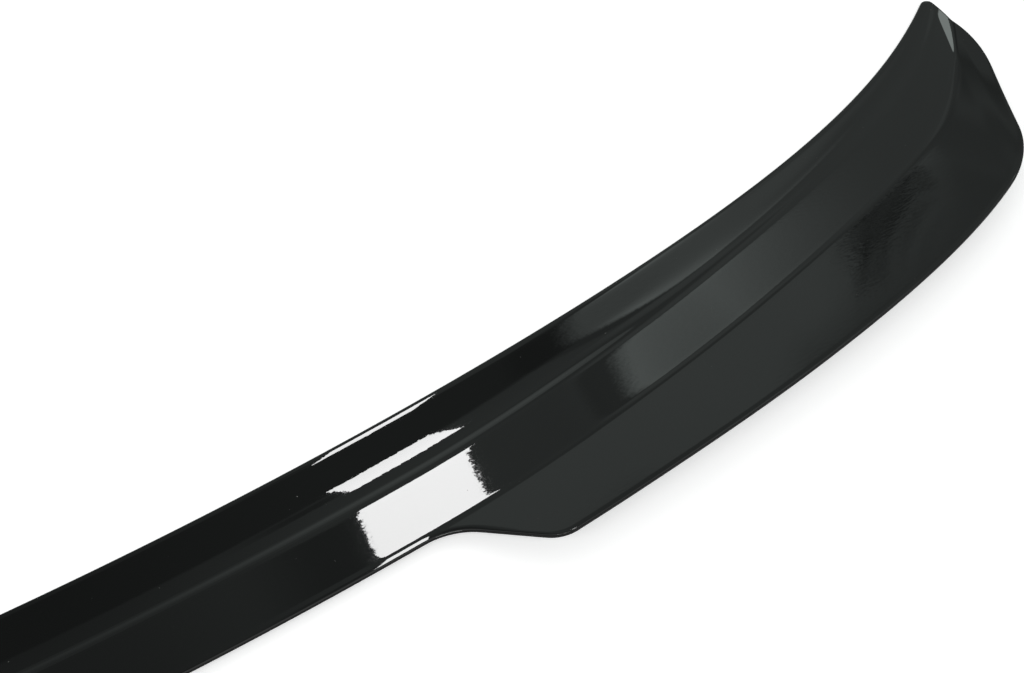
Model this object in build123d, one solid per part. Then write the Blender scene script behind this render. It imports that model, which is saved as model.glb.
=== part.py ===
from build123d import *
import os
from math import asin, cos, pi, radians, sin, tan

# A rear spoiler lip for a car: one thin moulded skin that bonds along its front land.
# Millimetres, +Z up, +X to the car's right, +Y to the car's front.
# The origin is on the bond land, on the centre line. The land lies on z = 0.

# plan outline
half_span = 576.7          # centre line to the sharp corner of each tip
front_offset = 11.0        # origin to the middle of the front edge
front_radius = 2092.0      # plan radius of the front edge at the middle
end_sweep = 34.2           # how far the front edge runs forward of that radius at the tip
sweep_power = 8.3          # how late that sweep comes
center_lip = 2.5           # width of the lip behind the crease, across the middle
wing_lip = 45.0            # the same at the inner end of each wing, if the crease ran on
wing_taper = 19.3          # loss of chord from there to the tip
taper_power = 12.3         # how late that loss comes
step_start = 182.6         # x where the rear edge leaves the middle
step_run = 30.6            # from there to the wing's inner corner, along x
end_lean = 5.2             # how far the end edge leans in from the tip to its knuckle
end_length = 47.6          # tip to knuckle, front to rear
corner_inset = 50.0        # tip to the rear corner, along x
tip_radius = 3.4
knuckle_radius = 110.0
corner_radius = 73.0
step_inner_radius = 24.4
step_outer_radius = 13.2

# section at the middle, in order from the front edge
wall = 2.0
nose = 4.0                 # width of the roll-down along the front edge
nose_angle = 16.6          # slope of the roll-down at the front edge
land = 19.0                # front edge to the end of the level land
hollow = 12.4              # width of the hollow that lifts off the land
hollow_angle = 10.0        # slope at the end of the hollow
riser_foot = 3.0           # arc length of the riser's foot
riser_angle = 28.0         # steepest slope of the riser
brow_inner = 13.0          # radius of the riser's brow on the underside
shelf_angle = 5.0          # slope of the shelf behind the riser
shelf = 38.7               # width of riser and shelf together, to the crease
crease_arc = 4.6           # arc length of the crease
lip_angle = 20.0           # slope of the upturned lip
land_relief = 6.0          # slope at which the underside leaves the bond land

# how the section changes towards the tips
shift = 16.8               # riser, shelf and crease move forward by this much
shift_start = 180.0        # x where the move begins
shift_length = 320.0
land_share = 0.5           # share of the move that the land takes up
fade_start = 240.0         # x where the riser begins to soften
fade_length = 120.0
faded_turn = 0.6           # turn left in the riser's foot once it has faded
tip_crease = 22.0          # front edge to crease at the tip
tip_power = 33             # how late the crease swings forward to the tip

# rim
edge_round = 0.9           # rounding of the upper rim; the underside keeps its trimmed edge

# construction allowances
front_margin = 2.0
rear_margin = 14.0
end_margin = 14.0
half_stations = 18
block_height = 90.0

crease = land + hollow + shelf
step_end = step_start + step_run


def front(x):
    return front_offset + x * x / (2.0 * front_radius) + end_sweep * (abs(x) / half_span) ** sweep_power


def center_rear(x):
    return front(x) - crease - center_lip


def wing_rear(x):
    return front(x) - crease - wing_lip + wing_taper * (abs(x) / half_span) ** taper_power


def ease(x, start, length):
    """0 before start, 1 past start + length, smooth between."""
    t = min(max((abs(x) - start) / length, 0.0), 1.0)
    return t * t * (3.0 - 2.0 * t)


def pinch(x):
    """Share of its full width that the band ahead of the crease keeps near the tips."""
    swing = (crease - shift) / tip_crease - 1.0
    return 1.0 / (1.0 + swing * (abs(x) / half_span) ** tip_power)


def bend(point, heading, length, turn):
    """Nodes half way along and at the end of an arc: rearward, up, heading."""
    radius = length / turn
    nodes = []
    for share in (0.5, 1.0):
        angle = heading + share * turn
        run = radius * (sin(angle) - sin(heading))
        rise = radius * (cos(heading) - cos(angle))
        nodes.append((point[0] + run, point[1] + rise, angle))
    return nodes


def under(node):
    """The point of the underside that faces a node of the upper side."""
    return (node[0] + wall * sin(node[2]), node[1] - wall * cos(node[2]))


def section(x):
    """Closed wire of the skin in the upright plane of one station."""
    narrow = pinch(x)
    moved = shift * ease(x, shift_start, shift_length)
    nose_end = narrow * nose
    land_end = narrow * (land - land_share * moved)
    hollow_end = narrow * (land + hollow - moved)
    crease_at = narrow * (crease - moved)
    hollow_slope = radians(hollow_angle)
    shelf_slope = radians(shelf_angle)
    lip_slope = radians(lip_angle)
    relief = radians(land_relief)
    faded = ease(x, fade_start, fade_length)
    foot_turn = (1.0 - faded) * radians(riser_angle - hollow_angle) + faded * radians(faded_turn)
    steep = hollow_slope + foot_turn
    brow_arc = (wall + brow_inner) * radians(riser_angle - shelf_angle)

    # roll-down, land and hollow
    nose_radius = nose / sin(radians(nose_angle))
    nose_turn = asin((nose_end + front_margin) / nose_radius)
    nose_node = (nose_end, wall, 0.0)
    nose_mid, nose_top = bend(nose_node, 0.0, -nose_radius * nose_turn, nose_turn)
    land_node = (land_end, wall, 0.0)
    hollow_radius = (hollow_end - land_end) / sin(hollow_slope)
    hollow_mid, hollow_node = bend(land_node, 0.0, hollow_radius * hollow_slope, hollow_slope)

    # riser, shelf, crease and lip
    foot_mid, foot_node = bend(hollow_node, hollow_slope, narrow * riser_foot, foot_turn)
    brow_mid, brow_node = bend(foot_node, steep, brow_arc, shelf_slope - steep)
    crease_turn = lip_slope - shelf_slope
    crease_leg = crease_arc / crease_turn * tan(crease_turn / 2.0)
    crease_height = brow_node[1] + (crease_at - brow_node[0]) * tan(shelf_slope)
    shelf_run = crease_leg * cos(shelf_slope)
    shelf_rise = crease_leg * sin(shelf_slope)
    shelf_node = (crease_at - shelf_run, crease_height - shelf_rise, shelf_slope)
    crease_mid, crease_node = bend(shelf_node, shelf_slope, crease_arc, crease_turn)
    lip_end = crease + wing_lip + rear_margin
    lip_node = (lip_end, crease_node[1] + (lip_end - crease_node[0]) * tan(lip_slope), lip_slope)

    # the underside leaves the hollow on a tangent that runs down through the bond plane
    relief_node = bend(land_node, 0.0, hollow_radius * relief, relief)[1]
    late_turn = hollow_slope - relief
    hollow_late = bend(relief_node, relief, hollow_radius * late_turn, late_turn)[0]
    relief_under = under(relief_node)
    nose_under = (nose_top[0], relief_under[1] - (relief_under[0] - nose_top[0]) * tan(relief))

    def place(point):
        return Vector(x, front(x) - point[0], point[1])

    def line(start, end):
        return Edge.make_line(place(start), place(end))

    def arc(start, middle, end):
        return Edge.make_three_point_arc(place(start), place(middle), place(end))

    upper = [
        arc(nose_top, nose_mid, nose_node),
        line(nose_node, land_node),
        arc(land_node, hollow_mid, hollow_node),
        arc(hollow_node, foot_mid, foot_node),
        arc(foot_node, brow_mid, brow_node),
        line(brow_node, shelf_node),
        arc(shelf_node, crease_mid, crease_node),
        line(crease_node, lip_node),
    ]
    lower = [
        line(lip_node, under(lip_node)),
        line(under(lip_node), under(crease_node)),
        arc(under(crease_node), under(crease_mid), under(shelf_node)),
        line(under(shelf_node), under(brow_node)),
        arc(under(brow_node), under(brow_mid), under(foot_node)),
        arc(under(foot_node), under(foot_mid), under(hollow_node)),
        arc(under(hollow_node), under(hollow_late), relief_under),
        line(relief_under, nose_under),
        line(nose_under, nose_top),
    ]
    return Wire(upper + lower)


def spread(limit, count):
    """Stations from one end to the other, closer together towards the ends."""
    return [limit * sin(pi / 2.0 * step / count) for step in range(-count, count + 1)]


def even(start, end, count):
    return [start + (end - start) * step / count for step in range(count + 1)]


def curve(rule, stations):
    return Edge.make_spline([Vector(x, rule(x), 0) for x in stations])


def trimmer():
    """Upright block with the plan outline and its rounded corners."""
    tip = Vector(half_span, front(half_span), 0)
    knuckle = Vector(half_span - end_lean, front(half_span) - end_length, 0)
    corner_x = half_span - corner_inset
    corner = Vector(corner_x, wing_rear(corner_x), 0)
    step_out = Vector(step_end, wing_rear(step_end), 0)
    step_in = Vector(step_start, center_rear(step_start), 0)

    def left(point):
        return Vector(-point.X, point.Y, 0)

    plan = Wire(
        [
            curve(front, spread(half_span, 14)),
            Edge.make_line(tip, knuckle),
            Edge.make_line(knuckle, corner),
            curve(wing_rear, even(corner_x, step_end, 8)),
            Edge.make_line(step_out, step_in),
            curve(center_rear, even(step_start, -step_start, 8)),
            Edge.make_line(left(step_in), left(step_out)),
            curve(wing_rear, even(-step_end, -corner_x, 8)),
            Edge.make_line(left(corner), left(knuckle)),
            Edge.make_line(left(knuckle), left(tip)),
        ]
    )
    block = extrude(Face(plan), amount=block_height, dir=(0, 0, 1))
    rounds = [
        (tip, tip_radius),
        (knuckle, knuckle_radius),
        (corner, corner_radius),
        (step_out, step_outer_radius),
        (step_in, step_inner_radius),
    ]
    for place, radius in rounds:
        upright = [
            edge
            for edge in block.edges()
            if abs(abs(edge.center().X) - place.X) < 0.01 and abs(edge.center().Y - place.Y) < 0.01
        ]
        block = fillet(upright, radius)
    return block


def facing(part, low, high):
    """Faces whose normal has its upward share between low and high."""
    return part.faces().filter_by(lambda face: low < face.normal_at(face.center()).Z < high)


skin = Solid.make_loft([section(x) for x in spread(half_span + end_margin, half_stations)])
spoiler = skin & trimmer()

upper_rim = facing(spoiler, 0.02, 1.1).edges() & facing(spoiler, -0.02, 0.02).edges()
spoiler = fillet(upper_rim, min(edge_round, 0.47 * wall))

os.makedirs("parts", exist_ok=True)
export_step(spoiler, "parts/spoiler.step")
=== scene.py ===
import math

import bpy
import numpy as np
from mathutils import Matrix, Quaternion, Vector


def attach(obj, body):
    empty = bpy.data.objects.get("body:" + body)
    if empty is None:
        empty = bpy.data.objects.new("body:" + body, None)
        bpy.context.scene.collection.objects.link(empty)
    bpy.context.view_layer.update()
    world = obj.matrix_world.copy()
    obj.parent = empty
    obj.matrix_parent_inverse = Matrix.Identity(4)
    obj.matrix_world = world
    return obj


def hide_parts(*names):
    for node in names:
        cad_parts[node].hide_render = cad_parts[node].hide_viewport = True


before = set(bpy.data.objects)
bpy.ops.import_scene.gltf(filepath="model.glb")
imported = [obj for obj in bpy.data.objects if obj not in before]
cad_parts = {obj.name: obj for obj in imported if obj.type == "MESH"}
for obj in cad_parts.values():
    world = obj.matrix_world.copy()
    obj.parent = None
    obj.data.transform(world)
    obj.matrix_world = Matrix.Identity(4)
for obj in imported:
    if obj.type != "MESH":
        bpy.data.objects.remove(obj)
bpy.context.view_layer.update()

# A gloss black rear spoiler lip. The skin is built here as one fine mesh on the frame's node.
# Sizes are in millimetres, +X to the car's right, +Y to its front, z = 0 on the bond land.

MM = 0.001

# plan outline
HALF_SPAN = 576.7          # centre line to the sharp corner of each tip
FRONT_OFFSET = 11.0        # origin to the middle of the front edge
FRONT_RADIUS = 2092.0      # plan radius of the front edge at the middle
END_SWEEP = 34.2           # how far the front edge runs forward of that radius at the tip
SWEEP_POWER = 8.3
CENTER_LIP = 2.5           # width of the lip behind the crease, across the middle
WING_LIP = 45.0            # the same at the inner end of each wing, if the crease ran on
WING_TAPER = 19.3          # loss of chord from there to the tip
TAPER_POWER = 12.3
STEP_START = 182.6         # x where the rear edge leaves the middle
STEP_RUN = 30.6            # from there to the wing's inner corner, along x
END_LEAN = 2.4             # how far the end edge leans in from the tip to its knuckle
END_LENGTH = 44.7          # tip to knuckle, front to rear
CORNER_INSET = 50.2        # tip to the rear corner, along x
TIP_RADIUS = 3.4
KNUCKLE_RADIUS = 154.0
CORNER_RADIUS = 76.5
STEP_INNER_RADIUS = 24.4
STEP_OUTER_RADIUS = 13.2

# section, in order from the front edge
WALL = 2.0
NOSE = 4.0                 # width of the roll-down along the front edge
NOSE_SLOPE = math.radians(12.5)
LAND = 19.0                # front edge to the end of the level land
HOLLOW = 12.4              # width of the hollow that lifts off the land
HOLLOW_SLOPE = math.radians(10.0)
RISER_FOOT = 3.0           # arc length of the riser's foot
RISER_SLOPE = math.radians(28.0)
BROW_RADIUS = 15.0
SHELF_SLOPE = math.radians(5.0)
SHELF = 38.7               # width of riser and shelf together, to the crease
CREASE_ARC = 4.6           # arc length of the crease
CREASE_SOFT = 6.0          # extra arc length where the crease softens before the tip
SOFT_START = 490.0
SOFT_RISE = 45.0
SOFT_END = 562.0
SOFT_FALL = 16.0
LIP_SLOPE = math.radians(20.0)
LAND_RELIEF = math.radians(6.0)   # slope at which the underside leaves the bond land
CREASE = LAND + HOLLOW + SHELF

# change of the section towards the tips
SHIFT = 16.8               # riser, shelf and crease move forward by this much
SHIFT_START = 180.0
SHIFT_LENGTH = 320.0
LAND_SHARE = 0.5           # share of the move that the land takes up
FADE_START = 255.0         # x where the riser begins to soften
FADE_LENGTH = 105.0
FADED_TURN = math.radians(0.6)
FADED_HOLLOW = 20.0        # run of the hollow once the riser has faded
FADED_LAG = 1.2            # how far behind the riser's foot that hollow ends
FADED_POWER = (4.0, 1.0)   # how late its slope comes, inward and outward of the even zone
EVEN_ZONE = (390.0, 490.0)
TIP_CREASE = 22.0          # front edge to crease at the tip
TIP_POWER = 33

# rims
EDGE_ROUND = 0.9           # rounding of the upper rim
BURR_ROUND = 0.25          # rounding of the lower rim
TRIM_WIDTH = 0.24          # outermost part of the upper rounding, left satin by the trim
ROUND_ANGLES = np.radians([0.0, 14.0, 28.0, 42.0, 56.0, 72.0, 90.0])
ROUND_STOPS = EDGE_ROUND * (1.0 - np.cos(ROUND_ANGLES))
ROLL_WIDTH = 3.3           # strip along the rear rim that rolls level before the rounding
ROLL_RADIUS = 9.0
ROLL_END = 206.0           # x where that strip has run out
ROLL_FADE = 26.0

# small facet at each tip that falls off towards the end edge, between two points of (x, behind front)
FACET_START = (556.0, 35.5)
FACET_END = (574.5, 7.5)
FACET_WIDTH = 9.0
FACET_TILT = math.radians(2.6)
FACET_SOFT = 0.5           # how gently the facet begins

# mesh
FAN_START = 430.0          # x where the columns begin to turn to the end edge
STEP_ZONE = (165.0, 235.0)
COLUMN = 3.2
STEP_COLUMN = 1.0
FAN_COLUMN = 3.0
TIP_COLUMNS = (0.5, 12.0, 16)   # nearest and farthest from the tip, and how many
FAN_CLEAR = 2.0            # least distance from the first fan column to the fan start
EVEN_FROM = 0.5            # share of the fan where the rows begin to space out evenly
EVEN_OVER = 0.4
MARK_ROWS = (5, 6, 8, 5, 8, 12, 7, 18)   # rows in each part of the section, nose to lip
LEAST_ROW = 0.3            # least width left to a part of the section
RIM_SHARE = 0.2            # most of a short column that one rim's rounding takes
LINE_POINTS = 2001         # points that sample a column
TIP_POINTS = 32
CORNER_POINTS = 48
ARC_POINTS = 24
EDGE_STEP = 1.0
TANGENT_REACH = 20.0
SMALL = 0.01               # step in x that measures a curve's slope
PROBE = 0.2                # step along the outline that measures its direction
CHUNK = 400                # points measured against the outline at a time
UNDER_ROUNDS = 12
TANGENT_ROUNDS = 60
NOSE_LIMIT = 0.95          # keeps the arcsines defined beyond the ends of their arcs
ARC_LIMIT = 0.9


def smooth(t):
    """0 before t = 0, 1 past t = 1, smooth between."""
    t = np.clip(t, 0.0, 1.0)
    return t * t * (3.0 - 2.0 * t)


def front(x):
    sweep = END_SWEEP * (np.abs(x) / HALF_SPAN) ** SWEEP_POWER
    return FRONT_OFFSET + x * x / (2.0 * FRONT_RADIUS) + sweep


def center_rear(x):
    return front(x) - CREASE - CENTER_LIP


def wing_rear(x):
    return front(x) - CREASE - WING_LIP + WING_TAPER * (np.abs(x) / HALF_SPAN) ** TAPER_POWER


def section(x):
    """Where each part of the section begins at x, and its slopes."""
    swing = (CREASE - SHIFT) / TIP_CREASE - 1.0
    narrow = 1.0 / (1.0 + swing * (np.abs(x) / HALF_SPAN) ** TIP_POWER)
    moved = SHIFT * smooth((np.abs(x) - SHIFT_START) / SHIFT_LENGTH)
    faded = smooth((np.abs(x) - FADE_START) / FADE_LENGTH)
    s = {"narrow": narrow, "faded": faded}
    s["nose"] = narrow * NOSE
    s["land"] = narrow * (LAND - LAND_SHARE * moved)
    s["hollow"] = narrow * (LAND + HOLLOW - moved)
    turn = (1.0 - faded) * (RISER_SLOPE - HOLLOW_SLOPE) + faded * FADED_TURN
    s["steep"] = HOLLOW_SLOPE + turn
    s["hollow_radius"] = (s["hollow"] - s["land"]) / math.sin(HOLLOW_SLOPE)
    s["hollow_z"] = WALL + s["hollow_radius"] * (1.0 - math.cos(HOLLOW_SLOPE))
    s["foot_radius"] = narrow * RISER_FOOT / turn
    s["foot"] = s["hollow"] + s["foot_radius"] * (np.sin(s["steep"]) - math.sin(HOLLOW_SLOPE))
    s["foot_z"] = s["hollow_z"] + s["foot_radius"] * (math.cos(HOLLOW_SLOPE) - np.cos(s["steep"]))
    brow_arc = BROW_RADIUS * (RISER_SLOPE - SHELF_SLOPE)
    s["brow_radius"] = brow_arc / (SHELF_SLOPE - s["steep"])
    s["brow"] = s["foot"] + s["brow_radius"] * (math.sin(SHELF_SLOPE) - np.sin(s["steep"]))
    s["brow_z"] = s["foot_z"] + s["brow_radius"] * (np.cos(s["steep"]) - math.cos(SHELF_SLOPE))
    crease_turn = LIP_SLOPE - SHELF_SLOPE
    soft = smooth((np.abs(x) - SOFT_START) / SOFT_RISE) * smooth((SOFT_END - np.abs(x)) / SOFT_FALL)
    s["crease_radius"] = (narrow * CREASE_ARC + soft * CREASE_SOFT) / crease_turn
    leg = s["crease_radius"] * math.tan(crease_turn / 2.0)
    crease = narrow * (CREASE - moved)
    s["bend"] = crease - leg * math.cos(SHELF_SLOPE)
    s["bend_z"] = s["brow_z"] + (s["bend"] - s["brow"]) * math.tan(SHELF_SLOPE)
    s["lip"] = crease + leg * math.cos(LIP_SLOPE)
    rise = math.cos(SHELF_SLOPE) - math.cos(LIP_SLOPE)
    s["lip_z"] = s["bend_z"] + s["crease_radius"] * rise
    return s


def skin_top(x, d):
    """Height and slope of the upper side, d behind the front edge."""
    s = section(x)
    nose_radius = NOSE / math.sin(NOSE_SLOPE)
    ahead = np.clip((s["nose"] - d) / nose_radius, 0.0, NOSE_LIMIT)
    z = WALL - nose_radius + nose_radius * np.sqrt(1.0 - ahead * ahead)
    slope = np.arcsin(ahead)
    arcs = (
        ("land", WALL, 0.0, "hollow_radius"),
        ("hollow", "hollow_z", HOLLOW_SLOPE, "foot_radius"),
        ("foot", "foot_z", "steep", "brow_radius"),
        ("brow", "brow_z", SHELF_SLOPE, None),
        ("bend", "bend_z", SHELF_SLOPE, "crease_radius"),
        ("lip", "lip_z", LIP_SLOPE, None),
    )
    for start, height, heading, radius in arcs:
        z_start = s[height] if isinstance(height, str) else height
        a_start = s[heading] if isinstance(heading, str) else heading
        run = d - s[start]
        if radius is None:
            z_part = z_start + run * np.tan(a_start)
            a_part = a_start + 0.0 * run
        else:
            lean = np.clip(np.sin(a_start) + run / s[radius], -ARC_LIMIT, ARC_LIMIT)
            a_part = np.arcsin(lean)
            z_part = z_start + s[radius] * (np.cos(a_start) - np.cos(a_part))
        past = run > 0.0
        z = np.where(past, z_part, z)
        slope = np.where(past, a_part, slope)

    # where the riser has faded, the hollow steepens slowly and the brow eases it straight onto the shelf
    end = s["foot"] + FADED_LAG * s["narrow"]
    run = np.minimum(FADED_HOLLOW * s["narrow"], end - s["nose"])
    brow_run = s["brow"] - end
    shelf = math.tan(SHELF_SLOPE)
    even = smooth((np.abs(x) - EVEN_ZONE[0]) / (EVEN_ZONE[1] - EVEN_ZONE[0]))
    power = FADED_POWER[0] + even * (FADED_POWER[1] - FADED_POWER[0])
    hollow_rise = run / (power + 1.0)
    steep = (s["brow_z"] - WALL - brow_run * shelf / 2.0) / (hollow_rise + brow_run / 2.0)
    t = np.clip((d - end + run) / run, 0.0, 1.0)
    u = np.clip((d - end) / brow_run, 0.0, 1.0)
    soft_z = WALL + hollow_rise * steep * t ** (power + 1.0)
    soft_z = soft_z + brow_run * (steep * u + (shelf - steep) * u * u / 2.0)
    soft_slope = np.arctan(np.where(u > 0.0, steep + (shelf - steep) * u, steep * t ** power))
    share = np.where((d > s["nose"]) & (d < s["brow"]), s["faded"], 0.0)
    z = z + share * (soft_z - z)
    slope = slope + share * (soft_slope - slope)
    return z, slope


def skin_under(x, d):
    """Height of the underside, one wall below the upper side and flat on the bond land."""
    over = d.copy()
    for _ in range(UNDER_ROUNDS):
        slope = skin_top(x, over)[1]
        over = d - WALL * np.sin(slope)
    z, slope = skin_top(x, over)
    z = z - WALL * np.cos(slope)
    s = section(x)
    top_run = s["hollow_radius"] * math.sin(LAND_RELIEF)
    lift_d = s["land"] + top_run + WALL * math.sin(LAND_RELIEF)
    lift_z = WALL + s["hollow_radius"] * (1.0 - math.cos(LAND_RELIEF)) - WALL * math.cos(LAND_RELIEF)
    ramp = lift_z - (lift_d - d) * math.tan(LAND_RELIEF)
    return np.maximum(np.where(d < lift_d, ramp, z), 0.0)


def arc_points(middle, first, last, radius, count):
    """Points of an arc from one angle to another, the short way round."""
    turn = (last - first + math.pi) % (2.0 * math.pi) - math.pi
    angles = first + turn * np.arange(count + 1) / count
    return middle + radius * np.stack([np.cos(angles), np.sin(angles)], axis=1)


def rounded(before, corner, after, radius, count):
    """Points of the arc that rounds a corner of the outline."""
    a = np.subtract(before, corner)
    b = np.subtract(after, corner)
    a = a / np.linalg.norm(a)
    b = b / np.linalg.norm(b)
    half = math.acos(float(a @ b)) / 2.0
    start = corner + a * radius / math.tan(half)
    end = corner + b * radius / math.tan(half)
    bisector = (a + b) / np.linalg.norm(a + b)
    middle = corner + bisector * radius / math.sin(half)
    first = math.atan2(start[1] - middle[1], start[0] - middle[0])
    last = math.atan2(end[1] - middle[1], end[0] - middle[0])
    return arc_points(middle, first, last, radius, count)


def slope_of(rule, x):
    """Slope of a plan curve at x."""
    return (rule(x + SMALL) - rule(x - SMALL)) / (2.0 * SMALL)


def rounded_to_curve(before, corner, rule, radius, count):
    """Points of the arc that rounds a straight edge into a plan curve that runs on to smaller x."""
    straight = np.subtract(corner, before) / np.linalg.norm(np.subtract(corner, before))
    side = np.array([straight[1], -straight[0]])

    def inward(x):
        slope = slope_of(rule, x)
        return np.array([-slope, 1.0]) / math.hypot(slope, 1.0)

    def middle_at(x):
        return np.array([x, rule(x)]) + radius * inward(x)

    low, high = corner[0] - radius, corner[0]
    for _ in range(TANGENT_ROUNDS):
        x = (low + high) / 2.0
        if (middle_at(x) - corner) @ side > radius:
            low = x
        else:
            high = x
    middle = middle_at(x)
    first = math.atan2(-side[1], -side[0])
    last = math.atan2(-inward(x)[1], -inward(x)[0])
    return arc_points(middle, first, last, radius, count)


def along(rule, start, end, step):
    """Points of a plan curve between two values of x."""
    count = max(2, int(abs(end - start) / step))
    x = np.linspace(start, end, count + 1)
    return np.stack([x, rule(x)], axis=1)


def near(rule, x, offset):
    """A point on the tangent of a plan curve at x."""
    return np.array([x + offset, rule(x) + offset * slope_of(rule, x)])


def outline():
    """Front, end and rear curves of the right half, in plan."""
    tip = np.array([HALF_SPAN, front(HALF_SPAN)])
    knuckle = np.array([HALF_SPAN - END_LEAN, tip[1] - END_LENGTH])
    corner_x = HALF_SPAN - CORNER_INSET
    corner = np.array([corner_x, wing_rear(corner_x)])
    step_in = np.array([STEP_START, center_rear(STEP_START)])
    step_x = STEP_START + STEP_RUN
    step_out = np.array([step_x, wing_rear(step_x)])
    before_tip = near(front, HALF_SPAN, -TANGENT_REACH)
    on_wing = near(wing_rear, step_x, TANGENT_REACH)
    on_middle = near(center_rear, STEP_START, -TANGENT_REACH)
    tip_arc = rounded(before_tip, tip, knuckle, TIP_RADIUS, TIP_POINTS)
    knuckle_arc = rounded(tip, knuckle, corner, KNUCKLE_RADIUS, ARC_POINTS)
    corner_arc = rounded_to_curve(knuckle, corner, wing_rear, CORNER_RADIUS, CORNER_POINTS)
    outer_arc = rounded(on_wing, step_out, step_in, STEP_OUTER_RADIUS, ARC_POINTS)
    inner_arc = rounded(step_out, step_in, on_middle, STEP_INNER_RADIUS, ARC_POINTS)
    half_tip = TIP_POINTS // 2
    half_corner = CORNER_POINTS // 2
    fronts = [along(front, 0.0, tip_arc[0][0], EDGE_STEP)[:-1], tip_arc[:half_tip + 1]]
    ends = [tip_arc[half_tip:], knuckle_arc, corner_arc[:half_corner + 1]]
    wing = along(wing_rear, outer_arc[0][0], corner_arc[-1][0], EDGE_STEP)[1:-1]
    middle = along(center_rear, 0.0, inner_arc[-1][0], EDGE_STEP)[:-1]
    rears = [middle, inner_arc[::-1], outer_arc[::-1], wing, corner_arc[half_corner:][::-1]]
    return np.concatenate(fronts), np.concatenate(ends), np.concatenate(rears)


def measured(line):
    """Distance along a polyline to each of its points."""
    steps = np.linalg.norm(np.diff(line, axis=0), axis=1)
    return np.concatenate([[0.0], np.cumsum(steps)])


def walk(line, distance):
    """Points at given distances along a polyline."""
    length = measured(line)
    return np.stack([np.interp(distance, length, line[:, k]) for k in (0, 1)], axis=-1)


def gap(points, line):
    """Distance from each point to a polyline."""
    a = line[:-1]
    ab = line[1:] - a
    square = np.maximum((ab * ab).sum(axis=1), 1e-12)
    best = np.full(len(points), 1e9)
    for first in range(0, len(points), CHUNK):
        p = points[first:first + CHUNK, None, :] - a[None]
        t = np.clip((p * ab).sum(axis=2) / square, 0.0, 1.0)
        away = p - ab[None] * t[..., None]
        best[first:first + CHUNK] = np.sqrt((away * away).sum(axis=2).min(axis=1))
    return best


def marks_along(line):
    """Distances along a column at which the parts of the section begin, and the column's length."""
    length = measured(line)
    x = line[:, 0]
    d = front(x) - line[:, 1]
    s = section(x)
    marks = []
    for name in ("nose", "land", "hollow", "foot", "brow", "bend", "lip"):
        behind = d - s[name] > 0.0
        first = int(np.argmax(behind)) if behind.any() else len(d) - 1
        marks.append(length[first])
    return np.array(marks), length[-1]


def column(start, end, start_rim, end_rim, even):
    """Points from the front edge to the rear edge. Even is the share of evenly spaced rows."""
    line = start + (end - start) * np.linspace(0.0, 1.0, LINE_POINTS)[:, None]
    marks, total = marks_along(line)
    head = ROUND_STOPS * start_rim
    tail = total - ROUND_STOPS[::-1] * end_rim
    inner = np.concatenate([[head[-1]], marks, [tail[0]]])
    spare = LEAST_ROW * np.arange(len(inner))
    inner = np.minimum(inner, inner[-1] - spare[::-1])
    stops = [np.linspace(p, q, n + 1)[:-1] for p, q, n in zip(inner[:-1], inner[1:], MARK_ROWS)]
    stops = np.concatenate(stops)
    level = np.linspace(head[-1], tail[0], len(stops) + 1)[:-1]
    stops = np.concatenate([head[:-1], (1.0 - even) * stops + even * level, tail])
    return start + (end - start) * (stops / total)[:, None]


def rim_factor(direction, tangent):
    """How much longer a slanting column is than the rim it crosses is wide."""
    cross = direction[0] * tangent[1] - direction[1] * tangent[0]
    return np.linalg.norm(direction) * np.linalg.norm(tangent) / abs(cross)


def plan_grid():
    """Plan points of the right half, by column from the middle to the tip and by row."""
    front_line, end_line, rear_line = outline()
    back_line = np.concatenate([rear_line, end_line[::-1][1:]])
    low, high = STEP_ZONE
    x = np.concatenate([
        np.linspace(0.0, low, int(low / COLUMN) + 1)[:-1],
        np.linspace(low, high, int((high - low) / STEP_COLUMN) + 1)[:-1],
        np.linspace(high, FAN_START, int((FAN_START - high) / COLUMN) + 1),
    ])
    front_length = measured(front_line)
    back_length = measured(back_line)
    front_from = np.interp(x, front_line[:, 0], front_length)
    back_from = np.interp(x, rear_line[:, 0], back_length[:len(rear_line)])

    # past the fan start the columns lean over until both ends meet at the tip
    fan = back_length[-1] - back_from[-1]
    further = np.arange(TIP_COLUMNS[1] + FAN_COLUMN, fan, FAN_COLUMN)
    near_tip = np.concatenate([np.geomspace(*TIP_COLUMNS), further])
    t = 1.0 - near_tip[near_tip < fan - FAN_CLEAR][::-1] / fan
    front_at = np.concatenate([front_from, front_from[-1] + t * (front_length[-1] - front_from[-1])])
    back_at = np.concatenate([back_from, back_from[-1] + t * fan])
    even = np.concatenate([0.0 * x, smooth((t - EVEN_FROM) / EVEN_OVER)])
    starts = walk(front_line, front_at)
    ends = walk(back_line, back_at)
    ahead = walk(front_line, front_at + PROBE) - walk(front_line, front_at - PROBE)
    behind = walk(back_line, back_at + PROBE) - walk(back_line, back_at - PROBE)
    columns = []
    for a, b, ta, tb, share in zip(starts, ends, ahead, behind, even):
        length = np.linalg.norm(b - a)
        most = RIM_SHARE * length / EDGE_ROUND
        rims = [min(rim_factor(b - a, tangent), most) for tangent in (ta, tb)]
        columns.append(column(a, b, rims[0], rims[1], share))
    return np.array(columns), np.concatenate([front_line, end_line]), rear_line


def drop(distance, radius):
    """How far a rim's rounding falls, by distance from the rim."""
    t = np.clip(1.0 - distance / radius, 0.0, 1.0)
    return radius * (1.0 - np.sqrt(1.0 - t * t))


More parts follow.
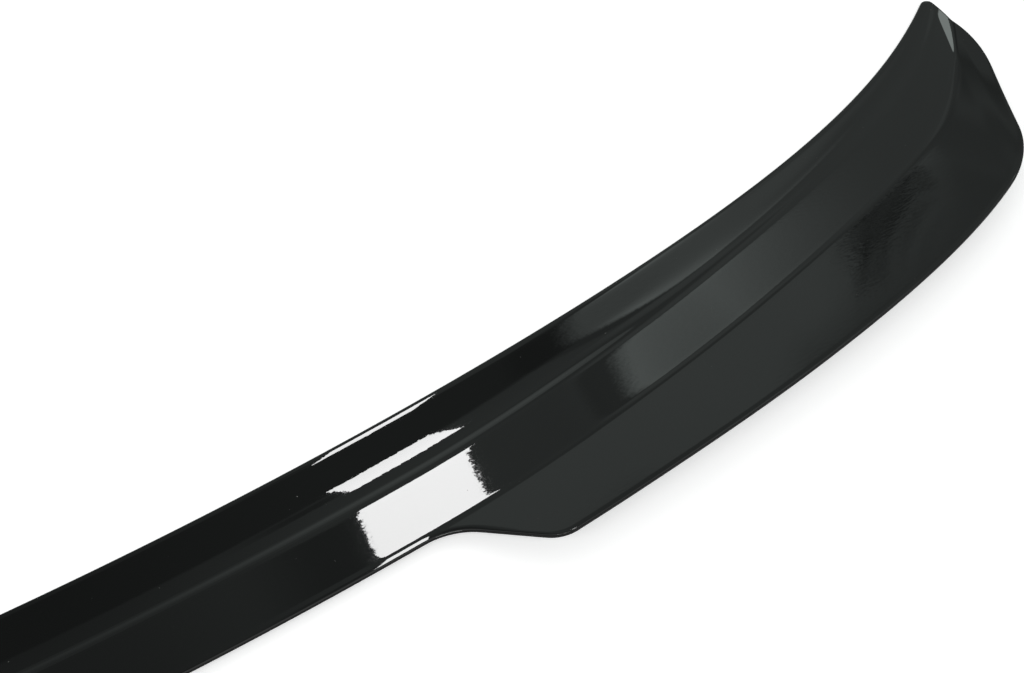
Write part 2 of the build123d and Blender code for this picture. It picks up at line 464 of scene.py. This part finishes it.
def relief(x, d, to_rear):
    """How far the rolled strip along the rear rim and the tip's facet lie below the plain section."""
    roll = np.clip(ROLL_WIDTH - to_rear, 0.0, None) ** 2 / (2.0 * ROLL_RADIUS)
    roll = roll * smooth((ROLL_END - x) / ROLL_FADE)
    facet = np.subtract(FACET_END, FACET_START)
    facet = facet / np.linalg.norm(facet)
    past = (x - FACET_START[0]) * -facet[1] + (d - FACET_START[1]) * facet[0]
    past = np.clip(past, 0.0, FACET_WIDTH)
    return roll + math.tan(FACET_TILT) * (np.sqrt(past * past + FACET_SOFT ** 2) - FACET_SOFT)


def skin_sides():
    """Points of the upper side and the underside of the right half, and their distance to the rim."""
    grid, lead_line, rear_line = plan_grid()
    columns, rows, _ = grid.shape
    flat = grid.reshape(-1, 2)
    x = flat[:, 0]
    d = front(x) - flat[:, 1]
    to_rear = gap(flat, rear_line)
    to_rim = np.minimum(gap(flat, lead_line), to_rear)
    top = skin_top(x, d)[0] - relief(x, d, to_rear) - drop(to_rim, EDGE_ROUND)
    under = skin_under(x, d)
    lifted = np.clip(under / BURR_ROUND, 0.0, 1.0)
    under = under + lifted * drop(to_rim, BURR_ROUND)
    top = np.column_stack([flat, top]).reshape(columns, rows, 3)
    under = np.column_stack([flat, under]).reshape(columns, rows, 3)
    return top, under, to_rim.reshape(columns, rows)


def skin_faces(columns, rows):
    """Faces of the upper side, the underside and the wall that joins their rims."""
    index = np.arange(columns * rows).reshape(columns, rows)
    a, b = index[:-1, :-1], index[1:, :-1]
    c, e = index[1:, 1:], index[:-1, 1:]
    shift = columns * rows
    upper = np.stack([a, e, c, b], axis=-1).reshape(-1, 4)
    lower = np.stack([a, b, c, e], axis=-1).reshape(-1, 4) + shift
    loop = np.concatenate([index[:, 0], index[-1, 1:], index[-2::-1, -1], index[0, -2:0:-1]])
    after = np.roll(loop, -1)
    wall = np.stack([loop, after, after + shift, loop + shift], axis=-1)
    return upper, lower, wall


def skin_mesh():
    """Closed mesh of both halves, gloss on the upper side and satin below and along the trimmed edge."""
    half_top, half_under, half_rim = skin_sides()
    flip = np.array([-1.0, 1.0, 1.0])
    top = np.concatenate([half_top[:0:-1] * flip, half_top]) * MM
    under = np.concatenate([half_under[:0:-1] * flip, half_under]) * MM
    rim = np.concatenate([half_rim[:0:-1], half_rim]).ravel()
    upper, lower, wall = skin_faces(top.shape[0], top.shape[1])
    faces = np.concatenate([upper, lower, wall])
    points = np.concatenate([top.reshape(-1, 3), under.reshape(-1, 3)])
    mesh = bpy.data.meshes.new("spoiler_skin")
    mesh.from_pydata(points.tolist(), [], faces.tolist())
    slots = np.ones(len(faces), dtype=np.int32)
    slots[:len(upper)] = rim[upper].max(axis=1) < TRIM_WIDTH
    mesh.polygons.foreach_set("material_index", slots)
    mesh.polygons.foreach_set("use_smooth", np.ones(len(faces), dtype=bool))
    mesh.validate()
    mesh.update()
    return mesh


def node(tree, kind, **values):
    """A new shader node with some of its properties set."""
    made = tree.nodes.new(kind)
    for name, value in values.items():
        setattr(made, name, value)
    return made


def noise(tree, vector, scale, detail):
    made = node(tree, "ShaderNodeTexNoise")
    made.inputs["Scale"].default_value = scale
    made.inputs["Detail"].default_value = detail
    tree.links.new(vector, made.inputs["Vector"])
    return made.outputs["Fac"]


def ranged(tree, value, low, high, out_low, out_high, soft=False):
    """Value carried from one range to another and held at its ends."""
    made = node(tree, "ShaderNodeMapRange")
    if soft:
        made.interpolation_type = "SMOOTHSTEP"
    made.inputs["From Min"].default_value = low
    made.inputs["From Max"].default_value = high
    made.inputs["To Min"].default_value = out_low
    made.inputs["To Max"].default_value = out_high
    tree.links.new(value, made.inputs["Value"])
    return made.outputs["Result"]


def math_node(tree, operation, first, second):
    made = node(tree, "ShaderNodeMath", operation=operation)
    for socket, value in zip(made.inputs, (first, second)):
        if isinstance(value, float):
            socket.default_value = value
        else:
            tree.links.new(value, socket)
    return made.outputs[0]


def two_tone(tree, factor, dark, light):
    """A colour between two, by factor."""
    made = node(tree, "ShaderNodeValToRGB")
    made.color_ramp.elements[0].color = (*dark, 1.0)
    made.color_ramp.elements[1].color = (*light, 1.0)
    tree.links.new(factor, made.inputs["Fac"])
    return made.outputs["Color"]


def bumped(tree, height, strength, distance):
    made = node(tree, "ShaderNodeBump")
    made.inputs["Strength"].default_value = strength
    made.inputs["Distance"].default_value = distance
    tree.links.new(height, made.inputs["Height"])
    return made.outputs["Normal"]


# polished upper side
GLOSS_DARK = (0.0036, 0.0038, 0.0037)
GLOSS_LIGHT = (0.0050, 0.0052, 0.0051)
GLOSS_TINT_SCALE = 9.0
GLOSS_IOR = 1.5
DUST_COLOR = (0.09, 0.09, 0.085, 1.0)
DUST_SCALE = 620.0
DUST_RANGE = (0.815, 0.85)
DUST_COVER = 0.6
DUST_ROUGHNESS = 0.4
HAZE_SCALE = 42.0
HAZE_RANGE = (0.3, 0.75)
HAZE_ROUGHNESS = (0.012, 0.022)
PEEL_SCALE = 700.0
PEEL_STRETCH = (0.4, 1.0, 1.0)
PEEL_STRENGTH = 0.05
PEEL_DEPTH = 0.0001

# unpolished underside and edge
SATIN_DARK = (0.006, 0.006, 0.006)
SATIN_LIGHT = (0.011, 0.011, 0.011)
SATIN_TINT_SCALE = 60.0
SATIN_RANGE = (0.3, 0.7)
SATIN_ROUGHNESS = (0.46, 0.62)
SATIN_SPECULAR = 0.08
GRAIN_SCALE = 1600.0
GRAIN_STRENGTH = 0.25
GRAIN_DEPTH = 0.0002


def gloss_black():
    """Polished black with a trace of orange peel, faint haze and a few specks of dust."""
    material = bpy.data.materials.new("gloss_black_skin")
    material.use_nodes = True
    tree = material.node_tree
    shader = tree.nodes["Principled BSDF"]
    place = node(tree, "ShaderNodeTexCoord").outputs["Object"]
    tint = noise(tree, place, GLOSS_TINT_SCALE, 3.0)
    specks = noise(tree, place, DUST_SCALE, 1.0)
    speck = ranged(tree, specks, *DUST_RANGE, 0.0, DUST_COVER)
    black = two_tone(tree, tint, GLOSS_DARK, GLOSS_LIGHT)
    mix = node(tree, "ShaderNodeMix", data_type="RGBA")
    tree.links.new(speck, mix.inputs["Factor"])
    tree.links.new(black, mix.inputs["A"])
    mix.inputs["B"].default_value = DUST_COLOR
    tree.links.new(mix.outputs["Result"], shader.inputs["Base Color"])
    haze = ranged(tree, noise(tree, place, HAZE_SCALE, 4.0), *HAZE_RANGE, *HAZE_ROUGHNESS)
    rough = math_node(tree, "ADD", haze, math_node(tree, "MULTIPLY", speck, DUST_ROUGHNESS))
    tree.links.new(rough, shader.inputs["Roughness"])
    stretch = node(tree, "ShaderNodeMapping")
    stretch.inputs["Scale"].default_value = PEEL_STRETCH
    tree.links.new(place, stretch.inputs["Vector"])
    peel = noise(tree, stretch.outputs["Vector"], PEEL_SCALE, 1.5)
    tree.links.new(bumped(tree, peel, PEEL_STRENGTH, PEEL_DEPTH), shader.inputs["Normal"])
    shader.inputs["IOR"].default_value = GLOSS_IOR
    return material


def satin_black():
    """The unpolished underside and the trimmed edge: fine-grained satin black."""
    material = bpy.data.materials.new("satin_black_back")
    material.use_nodes = True
    tree = material.node_tree
    shader = tree.nodes["Principled BSDF"]
    place = node(tree, "ShaderNodeTexCoord").outputs["Object"]
    tint = noise(tree, place, SATIN_TINT_SCALE, 5.0)
    black = two_tone(tree, tint, SATIN_DARK, SATIN_LIGHT)
    tree.links.new(black, shader.inputs["Base Color"])
    rough = ranged(tree, tint, *SATIN_RANGE, *SATIN_ROUGHNESS)
    tree.links.new(rough, shader.inputs["Roughness"])
    grain = noise(tree, place, GRAIN_SCALE, 2.0)
    tree.links.new(bumped(tree, grain, GRAIN_STRENGTH, GRAIN_DEPTH), shader.inputs["Normal"])
    shader.inputs["Specular IOR Level"].default_value = SATIN_SPECULAR
    return material


skin = bpy.data.objects.new("spoiler_skin", skin_mesh())
bpy.context.collection.objects.link(skin)
skin.data.materials.append(gloss_black())
skin.data.materials.append(satin_black())
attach(skin, "root")
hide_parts("spoiler")

# floor: a wide pale disc under the bond land, in metres
FLOOR_RADII = (0.5, 1.0, 2.0, 4.0, 8.0, 16.0, 32.0)
FLOOR_SIDES = 96
FLOOR_COLOR = 0.8
FLOOR_UNEVEN = 0.01        # how much its colour varies
FLOOR_TONE_SCALE = 1.5
FLOOR_GLOW = 0.46
FLOOR_GAP = 0.0002


def floor_mesh():
    """Rings of faces round a middle point."""
    points = [(0.0, 0.0, 0.0)]
    faces = []
    for ring, radius in enumerate(FLOOR_RADII):
        for side in range(FLOOR_SIDES):
            angle = 2.0 * math.pi * side / FLOOR_SIDES
            points.append((radius * math.cos(angle), radius * math.sin(angle), 0.0))
        for side in range(FLOOR_SIDES):
            this = 1 + ring * FLOOR_SIDES + side
            beside = 1 + ring * FLOOR_SIDES + (side + 1) % FLOOR_SIDES
            if ring == 0:
                faces.append((0, this, beside))
            else:
                faces.append((this - FLOOR_SIDES, this, beside, beside - FLOOR_SIDES))
    mesh = bpy.data.meshes.new("floor")
    mesh.from_pydata(points, [], faces)
    mesh.update()
    return mesh


def floor_paint():
    """Pale matt paint that the camera and reflections see as white."""
    material = bpy.data.materials.new("floor_paint")
    material.use_nodes = True
    tree = material.node_tree
    tree.nodes.clear()
    out = node(tree, "ShaderNodeOutputMaterial")
    place = node(tree, "ShaderNodeTexCoord").outputs["Object"]
    paint = node(tree, "ShaderNodeBsdfDiffuse")
    tone = noise(tree, place, FLOOR_TONE_SCALE, 2.0)
    pale = (FLOOR_COLOR - FLOOR_UNEVEN,) * 3
    paler = (FLOOR_COLOR + FLOOR_UNEVEN,) * 3
    tree.links.new(two_tone(tree, tone, pale, paler), paint.inputs["Color"])
    glow = node(tree, "ShaderNodeEmission")
    path = node(tree, "ShaderNodeLightPath")
    seen = math_node(tree, "MAXIMUM", path.outputs["Is Camera Ray"], path.outputs["Is Glossy Ray"])
    seen = math_node(tree, "MAXIMUM", seen, path.outputs["Is Transmission Ray"])
    tree.links.new(math_node(tree, "MULTIPLY", seen, FLOOR_GLOW), glow.inputs["Strength"])
    both = node(tree, "ShaderNodeAddShader")
    tree.links.new(paint.outputs["BSDF"], both.inputs[0])
    tree.links.new(glow.outputs["Emission"], both.inputs[1])
    tree.links.new(both.outputs["Shader"], out.inputs["Surface"])
    return material


floor = bpy.data.objects.new("floor", floor_mesh())
bpy.context.collection.objects.link(floor)
floor.data.materials.append(floor_paint())
floor.location.z = -FLOOR_GAP

# studio: a dim room that is lighter low down and to the right, a wide fill, a strip key and a softbox
ROOM_TINT = (0.90, 1.0, 0.965, 1.0)

# the room's brightness by direction; each pair is where a soft change begins and ends, in X or in Z
RIGHT = (0.14, 0.30)
FAR_RIGHT = (0.34, 0.41)
AHEAD = (0.0, 0.2)
LOW_LEVEL = 0.18
LOW_GAIN = 0.22            # more of it to the right
MIDDLE_LEVEL = 0.15
MIDDLE_GAIN = 0.17
FAR_GAIN = 0.06
MIDDLE_RISE = (0.36, 0.56)
MIDDLE_FOOT = 0.68         # share of the middle's brightness at its foot
HIGH_LEVEL = 0.085
HIGH_GAIN = 0.05
LOW_TO_MIDDLE = (0.290, 0.312)
MIDDLE_TO_HIGH = (0.70, 0.735)
LEFT_FALL = (0.10, 0.15)
LEFT_LEVEL = (0.30, 0.12)
LEFT_END = (0.25, 0.32)
LEFT_TOP = (0.43, 0.49)
PALE_X = ((0.34, 0.372), (0.385, 0.412))
PALE_Z = ((0.40, 0.46), (0.575, 0.605))
PALE_LEVEL = 0.09

# a dark flag beside the softbox, a rumpled dark screen low on the right and its shade
FLAG_X = ((0.215, 0.255), (0.262, 0.275))
FLAG_Z = ((0.650, 0.668), (0.700, 0.715))
FLAG_DEPTH = 0.5
SCREEN_X = (0.371, 0.379)
SCREEN_Z = (0.289, 0.302)
FOLD_SCALE = 190.0
FOLD_X = 0.012             # how far the folds push the screen's edges about
FOLD_Z = -0.022
MOTTLE_SCALE = 330.0
MOTTLE_RANGE = (0.35, 0.65)
MOTTLE_DEPTH = (0.5, 0.85)
SHADE_X = (0.364, 0.380)
SHADE_Z = (0.32, 0.36)
SHADE_DEPTH = 0.15

# a wide soft panel to the right with a leaning near edge, and a small lamp further round
PANEL_LEAN = 0.153
PANEL_LEVEL_AT = 0.733     # Z at which the leaning edge has its own X
PANEL_EDGE = (0.373, 0.387)
PANEL_FALL = (0.386, 0.450)
FALL_POWER = 1.5
BRIGHT_START = (0.59, 0.615)
BRIGHT_FALL = (0.66, 0.72)
BRIGHT_LEVEL = (0.85, 0.28)
BROAD_RISE = (0.62, 0.70)
BROAD_LEVEL = 0.28
FLANK_X = ((0.350, 0.362), (0.372, 0.382))
FLANK_Z = (0.59, 0.62)
FLANK_DEPTH = 0.3
SPOT_X = ((0.495, 0.510), (0.56, 0.59))
SPOT_Z = ((0.54, 0.56), (0.590, 0.603))
SPOT_LEVEL = 2.4


def room():
    """Brightness of the room by direction: X to the right, Y ahead, Z up."""
    world = bpy.data.worlds.new("studio")
    bpy.context.scene.world = world
    world.use_nodes = True
    tree = world.node_tree
    tree.nodes.clear()
    out = node(tree, "ShaderNodeOutputWorld")
    back = node(tree, "ShaderNodeBackground")
    back.inputs["Color"].default_value = ROOM_TINT
    split = node(tree, "ShaderNodeSeparateXYZ")
    place = node(tree, "ShaderNodeTexCoord").outputs["Generated"]
    tree.links.new(place, split.inputs["Vector"])
    x, z = split.outputs["X"], split.outputs["Z"]

    def times(first, second):
        return math_node(tree, "MULTIPLY", first, second)

    def plus(first, second):
        return math_node(tree, "ADD", first, second)

    def rest(share):
        return math_node(tree, "SUBTRACT", 1.0, share)

    def step(value, span, out_low=0.0, out_high=1.0):
        return ranged(tree, value, *span, out_low, out_high, soft=True)

    def patch(value, edges, height=1.0):
        """Up to height and down again, over the two spans of edges."""
        return times(step(value, edges[0]), step(value, edges[1], height, 0.0))

    def blend(share, first, second):
        return plus(times(share, second), times(rest(share), first))

    def walls():
        right = step(x, RIGHT)
        left = times(step(x, LEFT_FALL, *LEFT_LEVEL), step(x, LEFT_END, 1.0, 0.0))
        left = times(left, step(z, LEFT_TOP, 1.0, 0.0))
        low = plus(times(right, LOW_GAIN), LOW_LEVEL)
        far = times(step(x, FAR_RIGHT), FAR_GAIN)
        middle = plus(plus(times(right, MIDDLE_GAIN), MIDDLE_LEVEL), plus(far, left))
        middle = times(middle, step(z, MIDDLE_RISE, MIDDLE_FOOT, 1.0))
        middle = plus(middle, times(patch(x, PALE_X), patch(z, PALE_Z, PALE_LEVEL)))
        high = plus(times(right, HIGH_GAIN), HIGH_LEVEL)
        level = blend(step(z, LOW_TO_MIDDLE), low, middle)
        return blend(step(z, MIDDLE_TO_HIGH), level, high)

    def screen():
        folds = plus(noise(tree, place, FOLD_SCALE, 2.0), -0.5)
        rumple_x = plus(x, times(folds, FOLD_X))
        rumple_z = plus(z, times(folds, FOLD_Z))
        mottle = ranged(tree, noise(tree, place, MOTTLE_SCALE, 1.0), *MOTTLE_RANGE, *MOTTLE_DEPTH)
        return times(times(step(rumple_x, SCREEN_X), step(rumple_z, SCREEN_Z, 1.0, 0.0)), mottle)

    flag = times(times(patch(x, FLAG_X), patch(z, FLAG_Z)), FLAG_DEPTH)
    shade = times(step(x, SHADE_X), step(z, SHADE_Z, SHADE_DEPTH, 0.0))
    lean = plus(x, times(plus(z, -PANEL_LEVEL_AT), PANEL_LEAN))
    flank = times(patch(lean, FLANK_X), step(z, FLANK_Z, 0.0, FLANK_DEPTH))
    level = walls()
    for dark in (flag, screen(), shade, flank):
        level = times(level, rest(dark))

    fall = math_node(tree, "POWER", ranged(tree, lean, *PANEL_FALL, 1.0, 0.0), FALL_POWER)
    bright = times(times(fall, step(z, BRIGHT_FALL, *BRIGHT_LEVEL)), step(z, BRIGHT_START))
    broad = step(z, BROAD_RISE, 0.0, BROAD_LEVEL)
    ahead = step(split.outputs["Y"], AHEAD)
    panel = times(times(step(lean, PANEL_EDGE), ahead), plus(bright, broad))
    spot = times(times(patch(x, SPOT_X), ahead), patch(z, SPOT_Z, SPOT_LEVEL))
    tree.links.new(plus(level, plus(panel, spot)), back.inputs["Strength"])
    tree.links.new(back.outputs["Background"], out.inputs["Surface"])


def lamp(name, kind, place, aim, roll=0.0, **values):
    """A lamp at place that points at aim, turned about that line by roll."""
    data = bpy.data.lights.new(name, kind)
    for key, value in values.items():
        setattr(data, key, value)
    made = bpy.data.objects.new(name, data)
    bpy.context.collection.objects.link(made)
    made.location = place
    facing = (Vector(aim) - Vector(place)).to_track_quat("-Z", "Y")
    turned = facing @ Quaternion((0.0, 0.0, 1.0), roll)
    made.rotation_euler = turned.to_euler()


def area_lamp(name, place, aim, roll, size, radiance):
    """A flat rectangular lamp of even radiance."""
    power = radiance * math.pi * size[0] * size[1]
    lamp(name, "AREA", place, aim, roll, shape="RECTANGLE", size=size[0], size_y=size[1], energy=power)


CENTER = (0.0, 0.0, 0.0)

FILL_FROM = (-0.25, -0.50, 0.83)
FILL_ENERGY = 1.5
FILL_SPREAD = math.radians(120.0)

KEY_PLACE = (-0.8, -1.5, 2.1)
KEY_SIZE = (2.4, 0.4)
KEY_RADIANCE = 10.0

BOX_PLACE = (1.068, 2.0, 2.095)
BOX_AIM = (0.182, -0.025, 0.006)
BOX_ROLL = math.radians(16.0)
BOX_SIZE = (0.189, 0.481)
BOX_RADIANCE = 17.0

room()
lamp("fill", "SUN", FILL_FROM, CENTER, energy=FILL_ENERGY, angle=FILL_SPREAD)
area_lamp("key", KEY_PLACE, CENTER, 0.0, KEY_SIZE, KEY_RADIANCE)
area_lamp("softbox", BOX_PLACE, BOX_AIM, BOX_ROLL, BOX_SIZE, BOX_RADIANCE)

# camera, fitted to the photograph's outline
CAMERA_PLACE = (-0.14407, -0.62573, 0.83265)
CAMERA_AZIMUTH = math.radians(-31.945)
CAMERA_ELEVATION = math.radians(47.0)
FOCAL_PIXELS = 2500.0
IMAGE_WIDTH = 1024.0
SENSOR = 36.0
CLIP_END = 100.0

view = bpy.data.cameras.new("view")
view.sensor_fit = "HORIZONTAL"
view.sensor_width = SENSOR
view.lens = FOCAL_PIXELS / IMAGE_WIDTH * SENSOR
view.clip_end = CLIP_END
camera = bpy.data.objects.new("view", view)
bpy.context.collection.objects.link(camera)
camera.location = CAMERA_PLACE
camera.rotation_euler = (math.pi / 2.0 - CAMERA_ELEVATION, 0.0, CAMERA_AZIMUTH)
bpy.context.scene.camera = camera
bpy.context.scene.view_settings.view_transform = "Standard"
